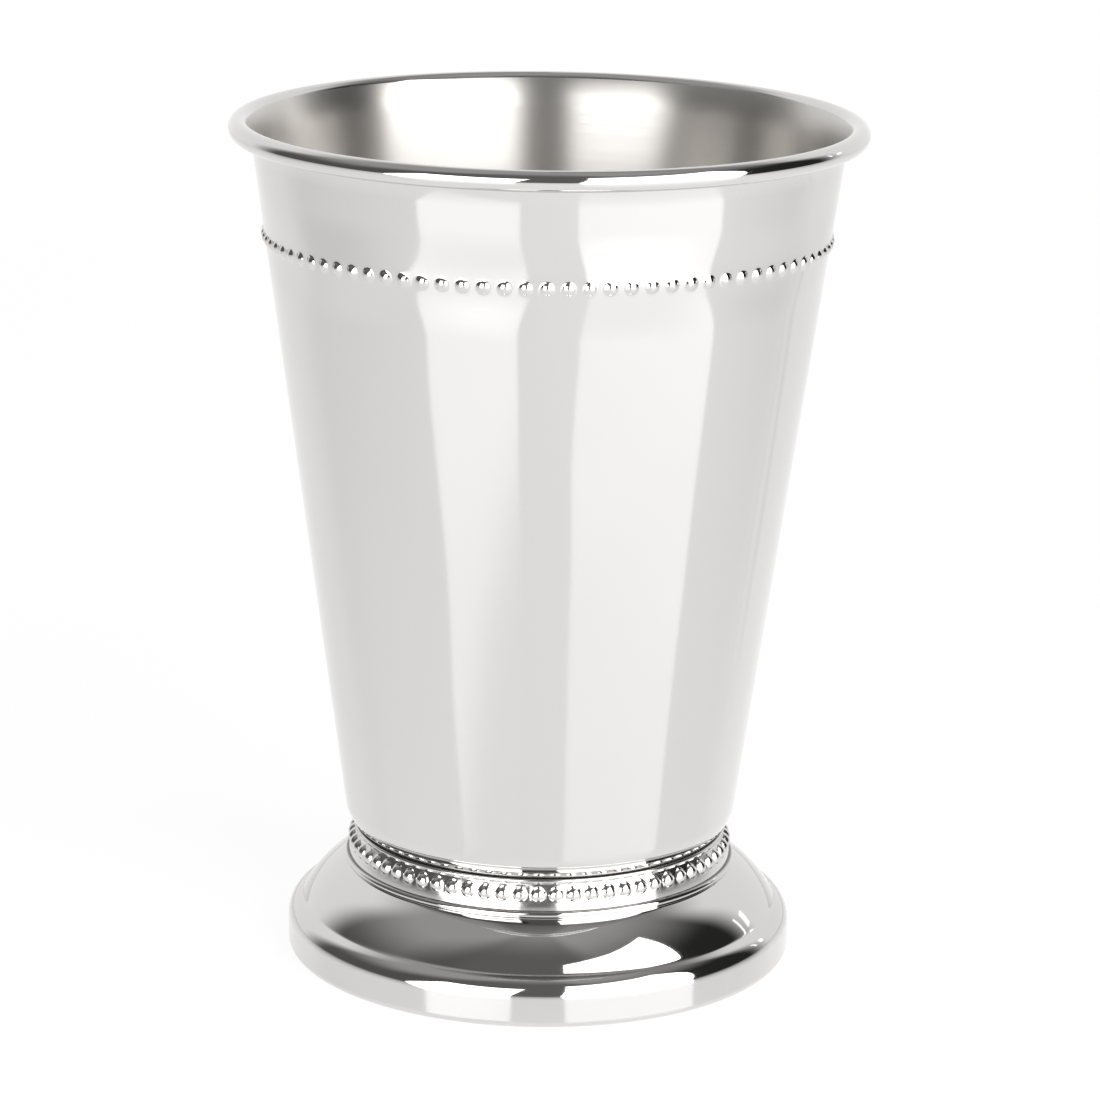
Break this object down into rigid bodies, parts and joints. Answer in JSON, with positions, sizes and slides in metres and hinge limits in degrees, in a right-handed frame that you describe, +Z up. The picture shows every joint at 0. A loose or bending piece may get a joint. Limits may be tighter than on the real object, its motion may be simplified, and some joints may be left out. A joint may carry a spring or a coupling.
{
  "type": "julep cup",
  "caption": "Tapered metal drinking cup with a rolled rim, a row of pressed beads near the top, and a domed pedestal foot joined by a beaded collar.",
  "frame": {"origin": "centre of the foot's resting ring, on the table plane", "axes": "+Z up along the cup's axis through the mouth; the cup is round, and +X and +Y are alike"},
  "size_m": [0.084, 0.084, 0.114],
  "materials": {
    "mirror_steel": "stainless steel, mirror polished outside, satin spun inside",
    "braze_filler": "dull grey brazing filler, hidden in the joints"
  },
  "bodies": {
    "root": {"bowl": "mirror_steel", "bead_collar": "mirror_steel", "foot_shell": "mirror_steel", "bowl_braze_ring": "braze_filler", "collar_braze_ring": "braze_filler"}
  },
  "joints": []
}
